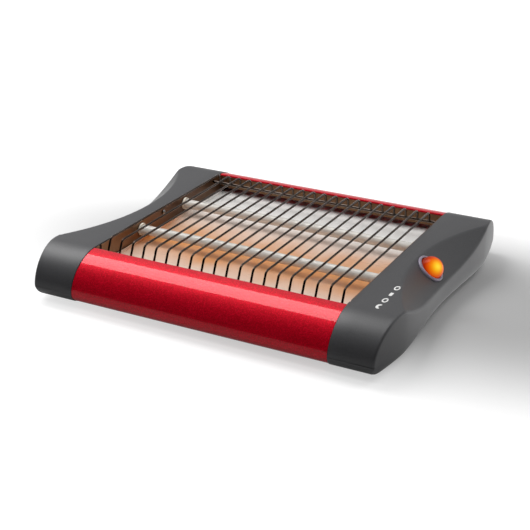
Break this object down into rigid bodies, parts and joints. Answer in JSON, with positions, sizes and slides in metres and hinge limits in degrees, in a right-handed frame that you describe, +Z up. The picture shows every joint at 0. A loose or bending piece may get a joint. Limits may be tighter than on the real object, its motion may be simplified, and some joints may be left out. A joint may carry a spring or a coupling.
{
  "type": "flat toaster",
  "caption": "Flat toaster: wire rack over quartz heaters and a polished slide-out crumb tray, red rails, dark scooped end caps with a lit rocker switch.",
  "frame": {"origin": "on the table, under the middle of the body, at the undersides of the feet", "axes": "+Z up, +X along the rails towards the end cap with the switch, -Y towards the user"},
  "size_m": [0.353, 0.3158, 0.0561],
  "materials": {
    "cap_plastic": "fine moulded texture, satin",
    "red_metal": "gloss metallic red with fine flake",
    "plain_steel": "plain sheet",
    "polished_steel": "polished sheet",
    "wire_steel": "dark chrome plated wire",
    "quartz": "milky satin quartz",
    "coil_wire": "oxidised resistance wire",
    "ceramic": "unglazed",
    "bezel_plastic": "moulded, semi-gloss",
    "amber_lens": "clear amber moulding, lit from inside",
    "lamp_glass": "small neon lamp",
    "brass": "plain",
    "rubber": "matt",
    "nylon": "natural nylon",
    "lead_sleeve": "silicone and glass sleeve"
  },
  "bodies": {
    "housing": {"right_cap": "cap_plastic", "left_cap": "cap_plastic", "right_cap_cover": "cap_plastic", "left_cap_cover": "cap_plastic", "front_rail": "red_metal", "back_rail": "red_metal", "base_plate": "plain_steel", "right_heat_shield": "polished_steel", "left_heat_shield": "polished_steel", "front_reflector": "polished_steel", "back_reflector": "polished_steel", "front_quartz_tube": "quartz", "front_heater_coil": "coil_wire", "front_right_ceramic_end": "ceramic", "front_left_ceramic_end": "ceramic", "back_quartz_tube": "quartz", "back_heater_coil": "coil_wire", "back_right_ceramic_end": "ceramic", "back_left_ceramic_end": "ceramic", "switch_housing": "bezel_plastic", "switch_lamp": "lamp_glass", "switch_terminal_front": "brass", "switch_terminal_middle": "brass", "switch_terminal_back": "brass", "cord_gland": "rubber", "terminal_block": "nylon", "heater_link_lead": "lead_sleeve", "front_heater_lead": "lead_sleeve", "back_heater_lead": "lead_sleeve", "switch_feed_lead": "lead_sleeve", "front_left_foot": "rubber", "front_left_cap_screw": "plain_steel", "front_left_rail_screw": "plain_steel", "front_left_base_screw": "plain_steel", "front_right_foot": "rubber", "front_right_cap_screw": "plain_steel", "front_right_rail_screw": "plain_steel", "front_right_base_screw": "plain_steel", "back_left_foot": "rubber", "back_left_cap_screw": "plain_steel", "back_left_rail_screw": "plain_steel", "back_left_base_screw": "plain_steel", "back_right_foot": "rubber", "back_right_cap_screw": "plain_steel", "back_right_rail_screw": "plain_steel", "back_right_base_screw": "plain_steel", "left_shield_screw": "plain_steel", "right_shield_screw": "plain_steel"},
    "rack": {"wire_rack": "wire_steel"},
    "tray": {"crumb_tray": "polished_steel", "tray_front": "red_metal", "left_tray_screw": "plain_steel", "right_tray_screw": "plain_steel"},
    "rocker": {"switch_rocker": "amber_lens"}
  },
  "joints": [
    {"name": "rack_lift", "type": "hinge", "parent": "housing", "child": "rack", "pos_m": [0, 0.1018, 0.045], "axis": [-1, 0, 0], "range_deg": [0, 85]},
    {"name": "tray_slide", "type": "slide", "parent": "housing", "child": "tray", "axis": [0, 1, 0], "range_m": [0, 0.2]},
    {"name": "switch_rock", "type": "hinge", "parent": "housing", "child": "rocker", "pos_m": [0.15519, 0.004, 0.03807], "axis": [0, -1, 0], "range_deg": [0, 14]}
  ]
}
